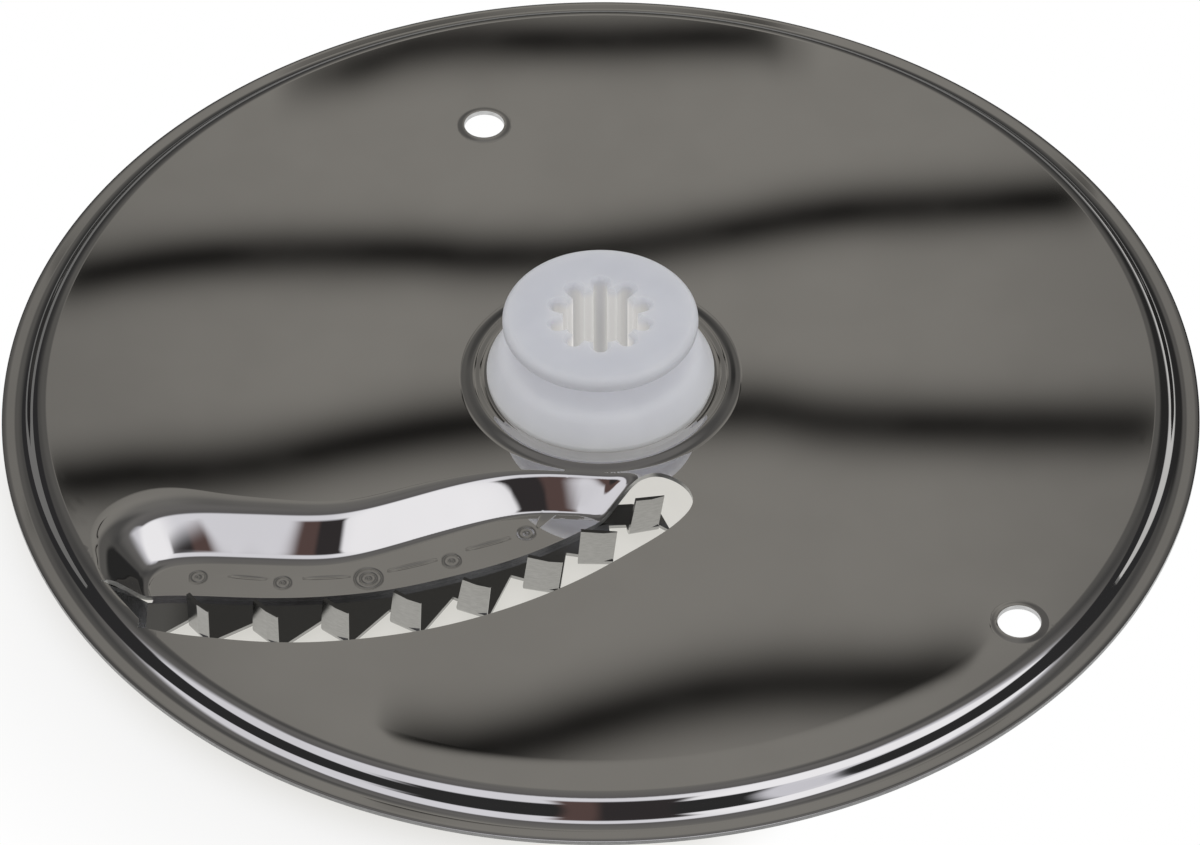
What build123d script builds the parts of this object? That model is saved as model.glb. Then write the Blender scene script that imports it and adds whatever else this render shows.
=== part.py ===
from build123d import *
import math
import os

# Julienne disc of a food processor, lying with its drive side up.
# Millimetres, +Z up, origin on the hub's axis at the plane the disc rests on.

# Driving dimensions
disc_r = 90.0  # outer radius of the pressed sheet
sheet_t = 0.8  # thickness of the pressed sheet
field_z = 8.0  # top of the flat field over the resting plane
rim_drop = 2.95  # step from the field down to the flange
rim_w = 5.3  # rim's width, from where the field and the slope would meet
rim_slope = 55.0  # slope of the step, degrees
rim_shoulder = 3.0  # rounding of the field into the step, on the drive side
rim_foot = 1.0  # rounding of the step into the flange, on the drive side

pad_rise = 0.5  # pressed pad that the hub sits on
pad_margin = 2.0  # pad's flat top beyond the hub's base
pad_run = 1.2  # width of the pad's slope
pad_round = 0.6

hub_hole_w = 6.1  # hub's base laps this far over the hole it is moulded through

seat_depth = 4.8  # blade seat, pressed towards the food side
seat_shoulder = 4.5  # rounding of the field into the seat's wall, drive side
seat_foot = 3.0  # rounding of the wall into the land, drive side
seat_slope = 42.0  # slope of the seat's wall, degrees

small_hole_r = 3.15  # two punched holes with a rolled lip
lip_h = 0.35
lip_w = 0.7

blade_t = 0.6  # thickness of the blade strip
tooth_h = 7.7  # tooth height over the strip's food side
tooth_bend = 1.0  # inner radius of each tooth's fold
grind_w = 2.0  # ground bevel down each tooth's leading end
grind_depth = 0.42
tooth_taper = 0.4  # the top edge falls by this much to the leading end
edge_bevel = 2.2  # ground bevel along each cutting edge
edge_left = 0.15  # metal left at the cutting edge

# Teeth, from the rim inwards: radius of the tooth's outer face, angle of the
# cutting edge behind it, angles of its trailing and leading ends at the foot,
# and how far each end leans forward at the top.
teeth = [
    (75.8, -143.1, -142.0, -138.8, 0.0, 0.2),
    (69.4, -137.7, -136.6, -132.5, 0.5, 0.1),
    (62.4, -131.8, -130.5, -126.1, 0.6, 0.2),
    (55.2, -125.5, -123.7, -118.6, 0.8, 0.3),
    (48.3, -118.0, -115.8, -110.2, 1.1, 0.6),
    (40.9, -110.0, -106.2, -98.9, 0.8, 0.7),
    (34.5, -99.2, -95.7, -87.1, 0.5, 0.6),
    (28.6, -87.5, -81.6, -72.7, 1.0, 0.9),
]

collar_r = 14.6  # drive collar at the hub's top
collar_t = 2.7
collar_round = 1.1
hub_top = 12.6  # hub's top face over the field
neck_r = 10.2
base_r = 17.1
base_lip = 0.8
base_top_r = 14.9
base_h = 5.6
base_round = 2.4
grip_r = 15.5  # closed finger grip on the food side
grip_round = 2.5
socket_tip_r = 5.6  # round bore between the grooves of the drive socket
socket_groove_r = 7.7
socket_groove_w = 2.1
socket_grooves = 10
socket_depth = 17.0
socket_mouth = 0.6  # bevel round the socket's mouth

# Derived sizes
plan = disc_r / 90.0  # the outlines below are drawn for a disc of this radius
rim_corner_r = disc_r - rim_w
slot_end_r = rim_corner_r - 0.9  # left end of the slot follows the rim's shoulder
pad_top_r = base_r + pad_margin
pad_foot_r = pad_top_r + pad_run
hub_hole_r = base_r - hub_hole_w
flange_z = field_z - rim_drop
under_z = field_z - sheet_t
land_z = field_z - seat_depth
strip_top = land_z - sheet_t
strip_z = strip_top - blade_t
pad_z = field_z + pad_rise
top_z = field_z + hub_top


def rad(a):
    return math.radians(a)


def polar(r, a):
    return (r * math.cos(rad(a)), r * math.sin(rad(a)))


# Blade seat seen from the drive side: where the field starts to round over,
# and where the wall has flattened into the land. Clockwise, point to point.
seat_brim = [
    (-71.0, -45.0),
    (-73.0, -41.5),
    (-73.9, -37.3),
    (-74.6, -33.2),
    (-73.6, -29.2),
    (-71.0, -26.1),
    (-67.2, -24.0),
    (-63.0, -23.5),
    (-59.0, -24.1),
    (-54.8, -25.0),
    (-49.4, -25.8),
    (-44.0, -26.4),
    (-38.8, -26.4),
    (-34.6, -25.5),
    (-30.6, -24.2),
    (-26.2, -22.7),
    (-21.4, -21.4),
    (-16.8, -20.5),
    (-12.0, -20.1),
    (-7.0, -20.2),
    (-2.0, -20.6),
    (2.6, -20.8),
    (6.2, -21.0),
    (7.6, -22.8),
    (6.2, -26.4),
    (2.6, -31.2),
    (-2.8, -35.6),
    (-8.6, -39.6),
    (-15.0, -43.2),
    (-22.5, -46.2),
    (-31.0, -48.6),
    (-40.0, -49.9),
    (-49.0, -50.4),
    (-57.5, -50.2),
    (-64.0, -49.4),
    (-68.4, -47.8),
]
seat_land = [
    (-64.0, -44.0),
    (-65.0, -42.2),
    (-65.6, -40.2),
    (-65.6, -38.4),
    (-64.9, -36.9),
    (-63.8, -35.9),
    (-62.0, -35.2),
    (-59.8, -34.9),
    (-57.0, -34.8),
    (-53.6, -34.9),
    (-49.2, -35.1),
    (-44.4, -35.3),
    (-40.0, -35.1),
    (-36.2, -34.3),
    (-32.4, -33.0),
    (-28.2, -31.3),
    (-23.4, -29.3),
    (-18.6, -27.3),
    (-13.6, -25.6),
    (-8.6, -24.9),
    (-4.6, -25.0),
    (-1.8, -25.6),
    (-0.8, -26.6),
    (-1.2, -27.8),
    (-2.6, -29.4),
    (-4.8, -31.8),
    (-8.0, -34.6),
    (-12.0, -37.2),
    (-17.0, -39.6),
    (-24.0, -42.0),
    (-31.5, -43.7),
    (-40.0, -44.9),
    (-48.5, -45.4),
    (-56.0, -45.6),
    (-60.2, -45.5),
    (-62.6, -45.0),
]
# Front edge of the slot, in the field.
slot_front = [
    (-66.6, -51.5),
    (-62.5, -52.7),
    (-57.4, -53.6),
    (-50.3, -54.5),
    (-43.7, -54.8),
    (-34.3, -54.1),
    (-24.6, -52.2),
    (-15.8, -49.2),
    (-6.3, -44.5),
    (-0.6, -40.8),
    (4.1, -37.2),
    (8.8, -33.4),
    (12.0, -30.0),
    (13.5, -26.7),
    (12.8, -24.0),
    (10.5, -21.7),
    (7.9, -20.9),
    (5.8, -21.7),
]
# Cut edge of the land, over the blade strip.
slot_back = [
    (-1.0, -26.9),
    (-10.5, -32.7),
    (-15.8, -35.1),
    (-22.5, -37.5),
    (-30.5, -39.8),
    (-38.0, -41.0),
    (-47.5, -41.5),
    (-57.0, -41.1),
    (-65.7, -40.4),
    (-72.6, -41.0),
]
small_holes = [(-18.2, 56.6), (60.0, -51.3)]


def sized(points):
    return [(x * plan, y * plan) for x, y in points]


seat_brim, seat_land = sized(seat_brim), sized(seat_land)
slot_front, slot_back = sized(slot_front), sized(slot_back)
small_holes = sized(small_holes)


def wall_stations(shoulder, foot, steps):
    """Run and drop across the seat's wall: rounded shoulder, slope, rounded foot."""
    s = rad(seat_slope)
    t1, t2 = shoulder * math.tan(s / 2), foot * math.tan(s / 2)
    run = seat_depth / math.tan(s)
    arcs = []
    for k in range(steps + 1):
        a = s * k / steps
        arcs.append((-t1 + shoulder * math.sin(a), shoulder * (1 - math.cos(a))))
    for k in range(steps + 1):
        a = s * (1 - k / steps)
        arcs.append((run + t2 - foot * math.sin(a), seat_depth - foot * (1 - math.cos(a))))
    return arcs


def seat_sections(stations, z_top):
    """Closed outlines from the brim to the land at the given runs and drops."""
    first, last = stations[0][0], stations[-1][0]
    sections = []
    for run, drop in stations:
        share = (run - first) / (last - first)
        ring = [
            (ax + share * (bx - ax), ay + share * (by - ay))
            for (ax, ay), (bx, by) in zip(seat_brim, seat_land)
        ]
        with BuildSketch(Plane.XY.offset(z_top - drop)) as outline:
            with BuildLine():
                Spline(*ring, periodic=True)
            make_face()
        sections.append(outline.sketch.faces()[0])
    return sections


# Drive side of the seat's wall, and its food side one sheet thickness away.
cavity_stations = wall_stations(seat_shoulder, seat_foot, 3)
shell_stations = wall_stations(seat_shoulder - sheet_t, seat_foot + sheet_t, 3)

# Pressed sheet
run_out = rim_drop / math.tan(rad(rim_slope))
shift = sheet_t * math.tan(rad(rim_slope / 2))
pad_slope = math.atan2(pad_rise, pad_foot_r - pad_top_r)
pad_shift = sheet_t * math.tan(pad_slope / 2)

with BuildPart() as disc:
    with BuildSketch(Plane.XZ) as half:
        with BuildLine():
            Polyline(
                (hub_hole_r, pad_z),
                (pad_top_r, pad_z),
                (pad_foot_r, field_z),
                (rim_corner_r, field_z),
                (rim_corner_r + run_out, flange_z),
                (disc_r, flange_z),
                (disc_r, flange_z - sheet_t),
                (rim_corner_r + run_out - shift, flange_z - sheet_t),
                (rim_corner_r - shift, under_z),
                (pad_foot_r - pad_shift, under_z),
                (pad_top_r - pad_shift, pad_z - sheet_t),
                (hub_hole_r, pad_z - sheet_t),
                close=True,
            )
        make_face()

        def corner(x, z):
            return half.vertices().sort_by_distance(Vector(x, z, 0))[0]

        fillet(corner(rim_corner_r, field_z), rim_shoulder)
        fillet(corner(rim_corner_r + run_out, flange_z), rim_foot)
        fillet(corner(rim_corner_r + run_out - shift, flange_z - sheet_t), rim_foot + sheet_t)
        fillet(corner(rim_corner_r - shift, under_z), rim_shoulder - sheet_t)
        fillet(corner(pad_foot_r, field_z), pad_round)
        fillet(corner(pad_top_r, pad_z), pad_round + sheet_t)
        fillet(corner(pad_foot_r - pad_shift, under_z), pad_round + sheet_t)
        fillet(corner(pad_top_r - pad_shift, pad_z - sheet_t), pad_round)
    revolve(axis=Axis.Z)

    # the blade seat: its food side joined on, then its drive side taken out
    loft(seat_sections(shell_stations, under_z), mode=Mode.ADD)
    loft(seat_sections(cavity_stations, field_z), mode=Mode.SUBTRACT)

    # the slot that the blade works through
    with BuildSketch(Plane.XY.offset(land_z - seat_depth)) as slot:
        with BuildLine():
            front = Spline(*slot_front)
            ramp = Line(slot_front[-1], slot_back[0])
            back = Spline(*slot_back)
            a0 = math.degrees(math.atan2(slot_back[-1][1], slot_back[-1][0]))
            a1 = math.degrees(math.atan2(slot_front[0][1], slot_front[0][0]))
            start = polar(slot_end_r, a0 + 0.8)
            stop = polar(slot_end_r, a1 - 0.8)
            mid = polar(slot_end_r, (a0 + a1) / 2)
            Line(slot_back[-1], start)
            ThreePointArc(start, mid, stop)
            Line(stop, slot_front[0])
        make_face()
    extrude(amount=3 * seat_depth, mode=Mode.SUBTRACT)

    # two punched holes with their rolled lips
    for x, y in small_holes:
        with BuildSketch(Plane.XY.offset(field_z)) as lip:
            with Locations((x, y)):
                Circle(small_hole_r + lip_w)
        extrude(amount=lip_h, taper=45)
    with BuildSketch(Plane.XY.offset(under_z - sheet_t)) as punched:
        with Locations(*small_holes):
            Circle(small_hole_r)
    extrude(amount=3 * sheet_t + lip_h, mode=Mode.SUBTRACT)

disc.part.label = "disc"

# Julienne blade
bend_out = tooth_bend + blade_t
notch_in = 0.7  # each relief notch reaches this far past the fold
strip_rear = [
    (10.3, -27.4),
    (8.6, -23.2),
    (4.6, -21.8),
    (1.5, -22.0),
    (-4.0, -25.4),
    (-10.0, -27.6),
    (-17.0, -30.2),
    (-25.0, -33.2),
    (-33.0, -35.6),
    (-41.0, -36.6),
    (-50.0, -36.7),
    (-58.0, -36.7),
    (-64.4, -37.6),
    (-65.4, -41.6),
]
end_fold_x = -66.0 * plan  # the outer end of the strip is folded up from here
end_top = (-71.4 * plan, field_z - 1.2)  # its top edge, x and z
end_y = (-48.4 * plan, -41.6 * plan)
strip_rear = sized(strip_rear)


def tooth_foot(i):
    """Middle of a tooth's outer face in plan, its angle and half its length."""
    r, _, trail, lead = teeth[i][:4]
    r = r * plan
    half_turn = rad((lead - trail) / 2)
    x, y = polar(r, (trail + lead) / 2)
    return x, y, (trail + lead) / 2, r * math.tan(half_turn)


def beside(i, u, v):
    """Plan point at u along a tooth and v towards the hub from its outer face."""
    x, y, mid, _ = tooth_foot(i)
    c, s = math.cos(rad(mid)), math.sin(rad(mid))
    return (x - u * s - v * c, y + u * c - v * s)


def along(p, q, reach):
    size = math.hypot(q[0] - p[0], q[1] - p[1])
    return (p[0] + reach * (q[0] - p[0]) / size, p[1] + reach * (q[1] - p[1]) / size)


# Stepped front of the flat strip: a cutting edge, a notch and a fold line by turns.
step_line = [(end_fold_x, end_y[0]), (-64.6 * plan, -48.6 * plan)]
edges = []
edge_start = step_line[-1]
for i, (r, at) in enumerate(t[:2] for t in teeth):
    half = tooth_foot(i)[3]
    inner = polar(r * plan - bend_out - notch_in, at)
    edges.append((edge_start, inner))
    step_line += [
        inner,
        beside(i, -half, bend_out + notch_in),
        beside(i, -half, bend_out),
        beside(i, half, bend_out),
    ]
    edge_start = beside(i, half, bend_out)

with BuildPart() as julienne_blade:
    with BuildSketch(Plane.XY.offset(strip_z)) as strip:
        with BuildLine():
            Polyline(*step_line, *strip_rear, (end_fold_x, end_y[1]), close=True)
        make_face()
    extrude(amount=blade_t)

    # outer end of the strip, folded up beside the rim
    with BuildSketch(Plane.XZ.offset(-end_y[1])) as end_side:
        with BuildLine():
            end_run = end_top[0] - end_fold_x
            end_rise = end_top[1] - strip_top
            end_a = math.atan2(end_rise, -end_run)
            lift = blade_t * math.tan(end_a / 2)
            drop_x, drop_z = blade_t * math.sin(end_a), blade_t * math.cos(end_a)
            Polyline(
                (end_fold_x + 0.8, strip_z),
                (end_fold_x + 0.8, strip_top),
                (end_fold_x, strip_top),
                end_top,
                (end_top[0] - drop_x, end_top[1] - drop_z),
                (end_fold_x - lift, strip_z),
                close=True,
            )
        make_face()
    extrude(amount=end_y[1] - end_y[0])
    with BuildSketch(Plane.XY) as end_corner:
        with BuildLine():
            corner_line = [(-67.3, -49), (-71.4, -43), (-71.4, -41), (-75, -41), (-75, -49)]
            Polyline(*sized(corner_line), close=True)
        make_face()
    extrude(amount=field_z, mode=Mode.SUBTRACT)

    # the teeth, each folded up along its own line
    for i in range(len(teeth)):
        x, y, mid, half = tooth_foot(i)
        lean_back, lean_front = teeth[i][4:]
        tangent = (-math.sin(rad(mid)), math.cos(rad(mid)), 0)
        hubward = (-math.cos(rad(mid)), -math.sin(rad(mid)), 0)
        with BuildSketch(
            Plane(origin=(*beside(i, -half, 0), strip_z), x_dir=hubward, z_dir=tangent)
        ) as fold:
            with BuildLine():
                Line((bend_out, 0), (bend_out, blade_t))
                RadiusArc((bend_out, blade_t), (blade_t, bend_out), tooth_bend)
                Line((blade_t, bend_out), (0, bend_out))
                RadiusArc((0, bend_out), (bend_out, 0), -bend_out)
            make_face()
        extrude(amount=2 * half)
        with BuildSketch(
            Plane(origin=(x, y, strip_z), x_dir=tangent, z_dir=(-hubward[0], -hubward[1], 0))
        ) as tooth:
            with BuildLine():
                Polyline(
                    (-half, bend_out),
                    (half, bend_out),
                    (half + lean_front, tooth_h - tooth_taper),
                    (-half + lean_back, tooth_h),
                    close=True,
                )
            make_face()
        extrude(amount=-blade_t)
        front = half + lean_front
        with BuildSketch(Plane.XY.offset(strip_z + bend_out)) as grind:
            with BuildLine():
                Polyline(
                    beside(i, front - grind_w, 0),
                    beside(i, front - grind_w, -blade_t),
                    beside(i, front + grind_w, -blade_t),
                    beside(i, front + grind_w, 2 * grind_depth),
                    close=True,
                )
            make_face()
        extrude(amount=tooth_h, mode=Mode.SUBTRACT)

    # ground bevels along the cutting edges, on the drive side
    for (ax, ay), (bx, by) in edges:
        size = math.hypot(bx - ax, by - ay)
        ex, ey = (bx - ax) / size, (by - ay) / size
        with BuildSketch(
            Plane(origin=(ax, ay, strip_z), x_dir=(ey, -ex, 0), z_dir=(ex, ey, 0))
        ) as bevel:
            with BuildLine():
                Polyline(
                    (0.3, edge_left),
                    (0, edge_left),
                    (-edge_bevel, blade_t),
                    (-edge_bevel, blade_t + 0.3),
                    (0.3, blade_t + 0.3),
                    close=True,
                )
            make_face()
        extrude(amount=size, mode=Mode.SUBTRACT)

julienne_blade.part.label = "julienne_blade"

# Hub
with BuildPart() as hub:
    with BuildSketch(Plane.XZ) as turned:
        with BuildLine():
            Polyline(
                (0, 0),
                (grip_r, 0),
                (grip_r, pad_z - sheet_t),
                (hub_hole_r, pad_z - sheet_t),
                (hub_hole_r, pad_z),
                (base_r, pad_z),
                (base_r, pad_z + base_lip),
                (base_top_r, field_z + base_h),
                (neck_r, field_z + base_h + 0.6),
                (neck_r, top_z - collar_t),
                (collar_r, top_z - collar_t),
                (collar_r, top_z),
                (0, top_z),
                close=True,
            )
        make_face()

        def turned_corner(x, z):
            return turned.vertices().sort_by_distance(Vector(x, z, 0))[0]

        fillet(turned_corner(grip_r, 0), grip_round)
        fillet(turned_corner(base_top_r, field_z + base_h), base_round)
        fillet(turned_corner(collar_r, top_z), collar_round)
        fillet(turned_corner(collar_r, top_z - collar_t), collar_round)
    revolve(axis=Axis.Z)

    # drive socket: a round bore with grooves
    with BuildSketch(Plane.XY.offset(top_z - socket_depth)) as socket:
        Circle(socket_tip_r)
        groove_end = socket_groove_r - socket_groove_w / 2
        with PolarLocations(0, socket_grooves, start_angle=90):
            with Locations((groove_end / 2, 0)):
                Rectangle(groove_end, socket_groove_w)
            with Locations((groove_end, 0)):
                Circle(socket_groove_w / 2)
    extrude(amount=socket_depth, mode=Mode.SUBTRACT)
    chamfer(hub.edges(Select.LAST).group_by(Axis.Z)[-1], socket_mouth)

hub.part.label = "hub"

os.makedirs("parts", exist_ok=True)
export_step(disc.part, "parts/disc.step")
export_step(julienne_blade.part, "parts/julienne_blade.step")
export_step(hub.part, "parts/hub.step")
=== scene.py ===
import math

import bpy
from mathutils import Matrix, Vector
from mathutils.geometry import delaunay_2d_cdt


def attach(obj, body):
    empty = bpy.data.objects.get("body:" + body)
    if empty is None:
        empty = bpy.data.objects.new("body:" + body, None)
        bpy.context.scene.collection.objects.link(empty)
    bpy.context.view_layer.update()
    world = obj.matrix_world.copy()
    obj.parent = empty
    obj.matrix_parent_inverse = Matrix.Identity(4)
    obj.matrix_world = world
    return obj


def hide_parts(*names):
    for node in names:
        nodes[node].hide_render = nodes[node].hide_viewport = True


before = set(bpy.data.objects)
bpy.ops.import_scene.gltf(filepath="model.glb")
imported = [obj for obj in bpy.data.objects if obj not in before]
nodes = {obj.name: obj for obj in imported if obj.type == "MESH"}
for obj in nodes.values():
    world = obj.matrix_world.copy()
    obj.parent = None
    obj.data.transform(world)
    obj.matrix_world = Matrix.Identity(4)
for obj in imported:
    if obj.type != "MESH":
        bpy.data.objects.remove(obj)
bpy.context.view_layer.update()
scene = bpy.context.scene

MM = 0.001
BLACK = (0.0, 0.0, 0.0, 1)
WHITE = (1, 1, 1, 1)

# Camera, fitted to the disc's outline in the photograph of 1200 x 845 pixels
IMAGE_W, IMAGE_H = 1200, 845
FOCAL_PIXELS = 5441.0
CENTRE_X, CENTRE_Y = 600.57, 388.46  # pixel of the point that the camera looks at
AIM_Z = 5.05 * MM
DISTANCE = 0.820
ELEVATION, ROLL = math.radians(44.3304), math.radians(-0.2025)
SENSOR_W = 36.0

# Dark seams between the far panels, on a plane at height 1: course (u, v), half width, darkness along u
SEAMS = [
    (
        [
            (-0.0835, 1.1475), (-0.067, 1.154), (-0.0505, 1.1615), (-0.0335, 1.164),
            (0.0, 1.164), (0.0425, 1.1655), (0.0505, 1.163),
        ],
        0.0112,
        [(-0.092, 0.0), (-0.074, 0.8), (-0.058, 1.0), (0.040, 1.0), (0.052, 0.5), (0.062, 0.0)],
    ),
    (
        [
            (-0.1425, 1.067), (-0.1185, 1.073), (-0.0865, 1.076), (-0.054, 1.0765), (-0.0295, 1.0745),
            (0.0, 1.0765), (0.0325, 1.084), (0.065, 1.092), (0.090, 1.094), (0.123, 1.097),
        ],
        0.0108,
        [(-0.148, 0.0), (-0.138, 1.0), (0.122, 1.0), (0.136, 0.0)],
    ),
    (
        [
            (-0.140, 0.9885), (-0.1245, 0.992), (-0.101, 0.994), (-0.086, 0.997),
            (-0.0625, 1.004), (-0.0395, 1.0095), (0.0, 1.014), (0.038, 1.0155),
            (0.061, 1.011), (0.0845, 1.0095), (0.1395, 1.0085),
        ],
        0.0118,
        [(-0.148, 0.0), (-0.138, 1.0), (0.138, 1.0), (0.150, 0.0)],
    ),
    (
        [
            (-0.052, 0.8955), (-0.0375, 0.895), (-0.0225, 0.898), (0.0, 0.9065), (0.022, 0.914),
            (0.0445, 0.918), (0.0745, 0.9185), (0.0895, 0.921),
        ],
        0.0128,
        [(-0.056, 0.0), (-0.044, 1.0), (0.082, 1.0), (0.098, 0.0)],
    ),
]
SEAM_SPAN = 0.16  # u at both ends of the curves above
SEAM_LOW, SEAM_HIGH = 0.86, 1.2  # v at their lowest and highest
SEAM_DARK = 0.96
HORIZON = 0.03  # lowest height that a direction is divided by

# Light over the table by angle, from the far horizon (0) by the zenith (90) to the near one (180)
ARCH = [
    (-5, (0.05, 0.05, 0.05)),
    (8, (0.06, 0.06, 0.055)),
    (24, (0.17, 0.165, 0.155)),
    (35, (0.300, 0.290, 0.270)),
    (50, (0.285, 0.275, 0.258)),
    (62, (0.205, 0.20, 0.193)),
    (78, (0.185, 0.18, 0.178)),
    (94, (0.155, 0.15, 0.153)),
    (101, (0.98, 0.98, 1.06)),
    (131, (0.98, 0.98, 1.06)),
    (138, (0.035, 0.035, 0.037)),
    (180, (0.04, 0.04, 0.04)),
]
ARCH_START, ARCH_SPAN = -10.0, 200.0
PATCH_LEFT, PATCH_RIGHT = (0.13, 0.085, 0.08, 1), (0.045, 0.04, 0.042, 1)
SOFT_LOW, SOFT_HIGH = (0.54, 0.54, 0.54, 1), (0.80, 0.80, 0.80, 1)

# Floor: its grey, the cream of a painted shade under the disc, how far it is dimmed under the slot and, in
# reflections, beyond the disc
FLOOR_GREY, FLOOR_PAINTED_SHADE = (0.85, 0.84, 0.82, 1), (0.80, 0.785, 0.74, 1)
FLOOR_HALF = 3.0
SLOT_MIDDLE_X, SLOT_MIDDLE_Y = -30 * MM, -35 * MM
UNDER_SLOT, BEYOND_DIM, BEYOND_RIGHT = 0.72, 0.78, 0.5

# Pressed sheet, in millimetres: the form of its solid, with hole lips and weld marks
DISC_R, SHEET = 90.0, 0.8
HUB_HOLE_R, PAD_TOP_R, PAD_FOOT_R = 11.0, 19.4, 20.7
FIELD_Z, PAD_Z, GROOVE_Z, FLANGE_Z = 8.0, 8.5, 8.41, 5.05
RIM_R, RIM_SLOPE = 84.7, math.radians(55)
RIM_FOOT_R = RIM_R + (FIELD_Z - FLANGE_Z) / math.tan(RIM_SLOPE)
SEAT_DEPTH, SEAT_SLOPE = 4.8, math.radians(42)
SEAT_SHOULDER, SEAT_FOOT = 4.5, 3.0
SEAT_RUN = 8.21  # usual width of the seat's wall in plan
WIDE_SAG = 0.8  # where the wall is wider, its drop gathers lower down
STEEPEST, STEEP_POWER = 0.95, 6  # the wall's normals lean no further than this gradient
EDGE_WEAR_R, EDGE_WEAR = 89.5, 0.5  # the outer edge is rubbed down from this radius
CURL = 0.07  # the field curls down by this much before the rim, nearest the seat's side
CURL_R, CURL_W, CURL_END_R, CURL_END_W = 77.5, 6.5, 88.5, 4.5
JOIN_R = 84.5  # inside it the mesh is free, outside it is in rings

# Corners of the sheet's section, radius and height, and the rounding of each inner corner
TOP_LINE = [
    (HUB_HOLE_R, PAD_Z), (16.9, PAD_Z), (17.5, GROOVE_Z), (18.1, GROOVE_Z), (18.9, PAD_Z),
    (PAD_TOP_R, PAD_Z), (PAD_FOOT_R, FIELD_Z), (RIM_R, FIELD_Z), (RIM_FOOT_R, FLANGE_Z), (DISC_R, FLANGE_Z),
]
TOP_ROUNDS = [1.5, 1.5, 3.0, 2.5, 1.6, 3.0, 3.0, 2.6]
PAD_LEAN, RIM_LEAN = 0.14, SHEET * math.tan(RIM_SLOPE / 2)
LOW_LINE = [
    (HUB_HOLE_R, PAD_Z - SHEET),
    (PAD_TOP_R - PAD_LEAN, PAD_Z - SHEET),
    (PAD_FOOT_R - PAD_LEAN, FIELD_Z - SHEET),
    (RIM_R - RIM_LEAN, FIELD_Z - SHEET),
    (RIM_FOOT_R - RIM_LEAN, FLANGE_Z - SHEET),
    (DISC_R, FLANGE_Z - SHEET),
]
LOW_ROUNDS = [1.4, 3.8, 2.2, 3.4]

BRIM = [
    (-71.0, -45.0), (-73.0, -41.5), (-73.9, -37.3), (-74.6, -33.2), (-73.6, -29.2), (-71.0, -26.1),
    (-67.2, -24.0), (-63.0, -23.5), (-59.0, -24.1), (-54.8, -25.0), (-49.4, -25.8), (-44.0, -26.4),
    (-38.8, -26.4), (-34.6, -25.5), (-30.6, -24.2), (-26.2, -22.7), (-21.4, -21.4), (-16.8, -20.5),
    (-12.0, -20.1), (-7.0, -20.2), (-2.0, -20.6), (2.6, -20.8), (6.2, -21.0), (7.6, -22.8),
    (6.2, -26.4), (2.6, -31.2), (-2.8, -35.6), (-8.6, -39.6), (-15.0, -43.2), (-22.5, -46.2),
    (-31.0, -48.6), (-40.0, -49.9), (-49.0, -50.4), (-57.5, -50.2), (-64.0, -49.4), (-68.4, -47.8),
]
LAND = [
    (-64.0, -44.0), (-65.0, -42.2), (-65.6, -40.2), (-65.6, -38.4), (-64.9, -36.9), (-63.8, -35.9),
    (-62.0, -35.2), (-59.8, -34.9), (-57.0, -34.8), (-53.6, -34.9), (-49.2, -35.1), (-44.4, -35.3),
    (-40.0, -35.1), (-36.2, -34.3), (-32.4, -33.0), (-28.2, -31.3), (-23.4, -29.3), (-18.6, -27.3),
    (-13.6, -25.6), (-8.6, -24.9), (-4.6, -25.0), (-1.8, -25.6), (-0.8, -26.6), (-1.2, -27.8),
    (-2.6, -29.4), (-4.8, -31.8), (-8.0, -34.6), (-12.0, -37.2), (-17.0, -39.6), (-24.0, -42.0),
    (-31.5, -43.7), (-40.0, -44.9), (-48.5, -45.4), (-56.0, -45.6), (-60.2, -45.5), (-62.6, -45.0),
]
SLOT_FRONT = [
    (-66.6, -51.5), (-62.5, -52.7), (-57.4, -53.6), (-50.3, -54.5), (-43.7, -54.8), (-34.3, -54.1),
    (-24.6, -52.2), (-15.8, -49.2), (-6.3, -44.5), (-0.6, -40.8), (4.1, -37.2), (8.8, -33.4),
    (12.0, -30.0), (13.5, -26.7), (12.8, -24.0), (10.5, -21.7), (7.9, -20.9), (5.8, -21.7),
]
SLOT_BACK = [
    (-1.0, -26.9), (-10.5, -32.7), (-15.8, -35.1), (-22.5, -37.5), (-30.5, -39.8), (-38.0, -41.0),
    (-47.5, -41.5), (-57.0, -41.1), (-65.7, -41.1), (-72.6, -42.3),
]
SLOT_END_R, SLOT_END_TURN = 83.2, 0.8  # left end of the slot: its radius, and degrees kept for its corners
SLOT_LEFT, SLOT_RIGHT, SLOT_NEAR, SLOT_FAR = -85, 14, -56, -20  # a box round the slot
SMALL_HOLES = [(-18.2, 56.6), (60.0, -51.3)]
HOLE_R, LIP_W, LIP_H = 3.15, 1.2, 0.13
# Spot welds: place and the radii of the rings round each
WELDS = [
    (-58.9, -37.2, (0.3, 1.15)), (-46.5, -38.4, (0.3, 1.15)), (-34.0, -37.6, (0.3, 1.15, 2.0)),
    (-21.9, -34.1, (0.3, 1.25)), (-11.0, -28.5, (0.3, 1.2)),
]
WELD_W, WELD_DEPTH, WELD_REACH = 0.15, 0.045, 3
# Shallow lens-shaped marks between the welds: two ends
DASHES = [
    ((-54.6, -36.9), (-48.7, -37.6)), ((-43.7, -37.5), (-36.5, -37.1)),
    ((-31.4, -36.2), (-23.9, -33.8)), ((-20.0, -31.9), (-13.2, -29.4)),
]
DASH_W, DASH_DEPTH, DASH_REACH = 0.2, 0.05, 1.2

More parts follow.
